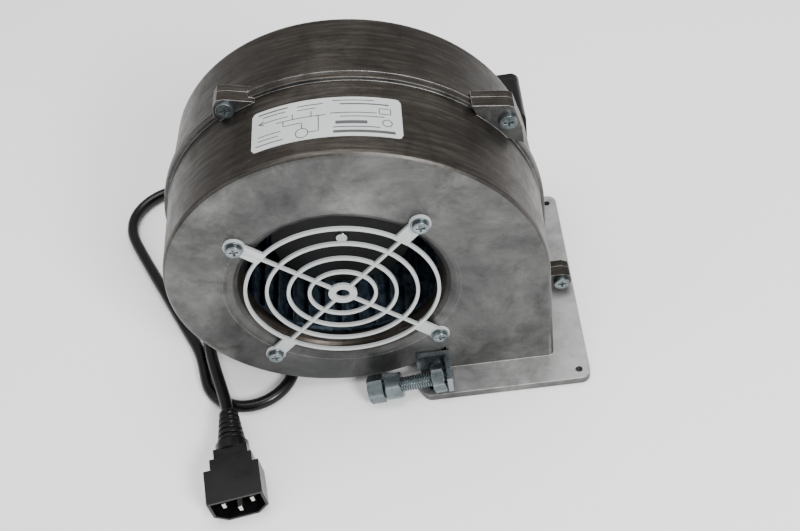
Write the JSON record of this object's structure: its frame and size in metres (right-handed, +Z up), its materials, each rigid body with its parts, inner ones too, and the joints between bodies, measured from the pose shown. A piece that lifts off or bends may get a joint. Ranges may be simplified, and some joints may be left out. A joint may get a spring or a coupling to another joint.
{
  "type": "combustion fan",
  "caption": "Snail-shaped die-cast combustion fan with a round finger guard, outlet flange with a counterweighted flap, terminal box and a mains cord with an appliance plug.",
  "frame": {"origin": "centre of the outlet flange's bolt pattern, on its mating face", "axes": "-Z out of the outlet, Z up when the fan stands on its flange, the inlet faces -Y, the scroll lies toward -X"},
  "size_m": [0.2587, 0.2313, 0.1698],
  "materials": {
    "cast_aluminium": "raw die-cast, mottled",
    "sheet_aluminium": "rolled sheet",
    "zinc_steel": "bright zinc plate",
    "ground_steel": "ground",
    "galvanised_sheet": "galvanised",
    "lamination_steel": "varnished laminations",
    "guard_paint": "satin pale grey",
    "black_paint": "satin black",
    "copper": "enamelled copper wire",
    "bush_brass": "machined",
    "label": "printed film",
    "black_plastic": "moulded black",
    "pale_plastic": "moulded pale",
    "cord_pvc": "smooth flexible sheath",
    "pin_metal": "nickel plate"
  },
  "bodies": {
    "casing": {"front_casing": "cast_aluminium", "rear_casing": "cast_aluminium", "casing_screws": "zinc_steel", "finger_guard": "guard_paint", "guard_washers": "zinc_steel", "guard_screws": "zinc_steel", "rating_label": "label", "front_bearing": "ground_steel", "rear_bearing": "ground_steel", "stator_core": "lamination_steel", "stator_windings": "copper", "motor_flange": "cast_aluminium", "motor_screws": "zinc_steel", "flap_bushes": "bush_brass", "terminal_box": "black_plastic", "terminal_box_lid": "black_plastic", "lid_screws": "zinc_steel", "box_screws": "zinc_steel", "capacitor": "pale_plastic", "terminal_block": "pale_plastic", "cord_gland": "black_plastic", "gland_nut": "black_plastic", "mains_cord": "cord_pvc", "plug_strain_relief": "cord_pvc", "plug_body": "cord_pvc", "plug_pins": "pin_metal"},
    "rotor": {"impeller_backplate": "galvanised_sheet", "impeller_blades": "galvanised_sheet", "impeller_ring": "galvanised_sheet", "impeller_rivets": "zinc_steel", "rotor_shell": "black_paint", "motor_shaft": "ground_steel"},
    "flap": {"flap_plate": "sheet_aluminium", "flap_shaft": "ground_steel", "flap_screws": "zinc_steel", "counterweight_lever": "zinc_steel", "lever_screw": "zinc_steel", "counterweight_bolt": "zinc_steel", "bolt_lock_nut": "zinc_steel"},
    "weight": {"counterweight_nut": "zinc_steel"}
  },
  "joints": [
    {"name": "rotor_spin", "type": "hinge", "parent": "casing", "child": "rotor", "pos_m": [-0.071, 0, 0.078], "axis": [0, 1, 0], "continuous": true},
    {"name": "flap_swing", "type": "hinge", "parent": "casing", "child": "flap", "pos_m": [-0.033, 0, 0.0125], "axis": [0, 1, 0], "range_deg": [0, 55]},
    {"name": "weight_slide", "type": "slide", "parent": "flap", "child": "weight", "axis": [0.9936, 0, 0.1132], "range_m": [0, 0.015]}
  ]
}
